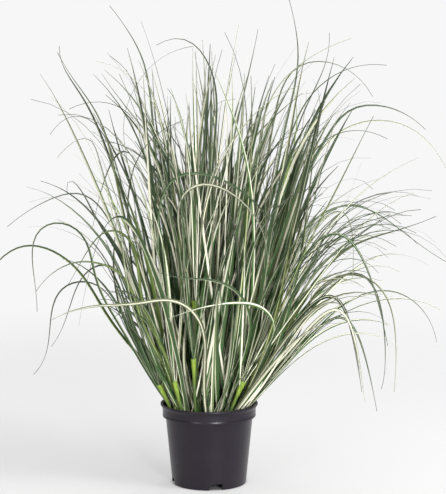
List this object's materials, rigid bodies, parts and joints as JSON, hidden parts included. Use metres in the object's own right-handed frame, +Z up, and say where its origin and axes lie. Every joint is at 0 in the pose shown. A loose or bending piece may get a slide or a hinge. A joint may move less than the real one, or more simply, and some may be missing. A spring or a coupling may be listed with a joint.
{
  "type": "potted ornamental grass clump",
  "caption": "Free-standing clump of long arching variegated grass blades in a black nursery pot, with lime stem cups at the rim.",
  "frame": {"origin": "bottom centre of the object's box, which is within a few millimetres of the pot's axis, on the surface it stands on", "axes": "+Z up along the pot's axis, -Y towards the front, +X to the right seen from the front"},
  "size_m": [0.7361, 0.6638, 0.74],
  "materials": {
    "pot_plastic": "satin",
    "cast_filling": "matte",
    "stem_plastic": "satin",
    "blade_green": "satin",
    "blade_cream": "satin",
    "blade_olive": "satin",
    "blade_lime": "satin"
  },
  "bodies": {
    "root": {"pot": "pot_plastic", "filling": "cast_filling", "stem_front_left": "stem_plastic", "stem_front": "stem_plastic", "stem_front_right": "stem_plastic", "stem_left": "stem_plastic", "stem_tall": "stem_plastic", "stem_back_left": "stem_plastic", "stem_back_right": "stem_plastic", "stem_right": "stem_plastic", "blade_left_high_dark": "blade_green", "blade_left_high_olive": "blade_olive", "blade_top_left_spear": "blade_green", "blade_top_arc_pale": "blade_olive", "blade_top_arc_dark": "blade_green", "blade_top_left_fine": "blade_green", "blade_centre_spike_a": "blade_cream", "blade_centre_spike_b": "blade_green", "blade_top_right_spear": "blade_green", "blade_right_spear_a": "blade_green", "blade_right_long_a": "blade_cream", "blade_right_long_b": "blade_green", "blade_right_arch_a": "blade_olive", "blade_right_arch_b": "blade_green", "blade_right_arch_c": "blade_cream", "blade_right_arch_d": "blade_green", "blade_right_olive": "blade_olive", "blade_right_wide_arc": "blade_green", "blade_right_crest": "blade_cream", "blade_right_low_a": "blade_green", "blade_right_low_b": "blade_cream", "blade_right_low_c": "blade_green", "blade_right_low_d": "blade_green", "blade_right_low_e": "blade_cream", "blade_right_low_faint": "blade_green", "blade_left_straight": "blade_green", "blade_left_hook": "blade_green", "blade_left_long": "blade_green", "blade_left_bowed": "blade_cream", "blade_left_hoop": "blade_green", "blade_left_big_arc": "blade_olive", "blade_left_olive": "blade_olive", "blade_left_drop": "blade_olive", "blade_left_low_a": "blade_green", "blade_left_low_b": "blade_green", "blade_left_fine_a": "blade_green", "blade_left_fine_b": "blade_olive", "blade_front_cream_a": "blade_cream", "blade_front_cream_b": "blade_cream", "blade_front_green": "blade_green", "blade_front_cream_arc": "blade_cream", "blade_front_green_arc": "blade_green", "blade_centre_lime": "blade_lime", "blade_back_right_arch": "blade_green", "blade_back_arch": "blade_cream", "blade_back_low_arch": "blade_green", "blade_back_left_arch": "blade_olive", "blade_front_right_arch": "blade_green", "blade_front_low_arch": "blade_cream", "blade_front_left_arch": "blade_green"}
  },
  "joints": []
}
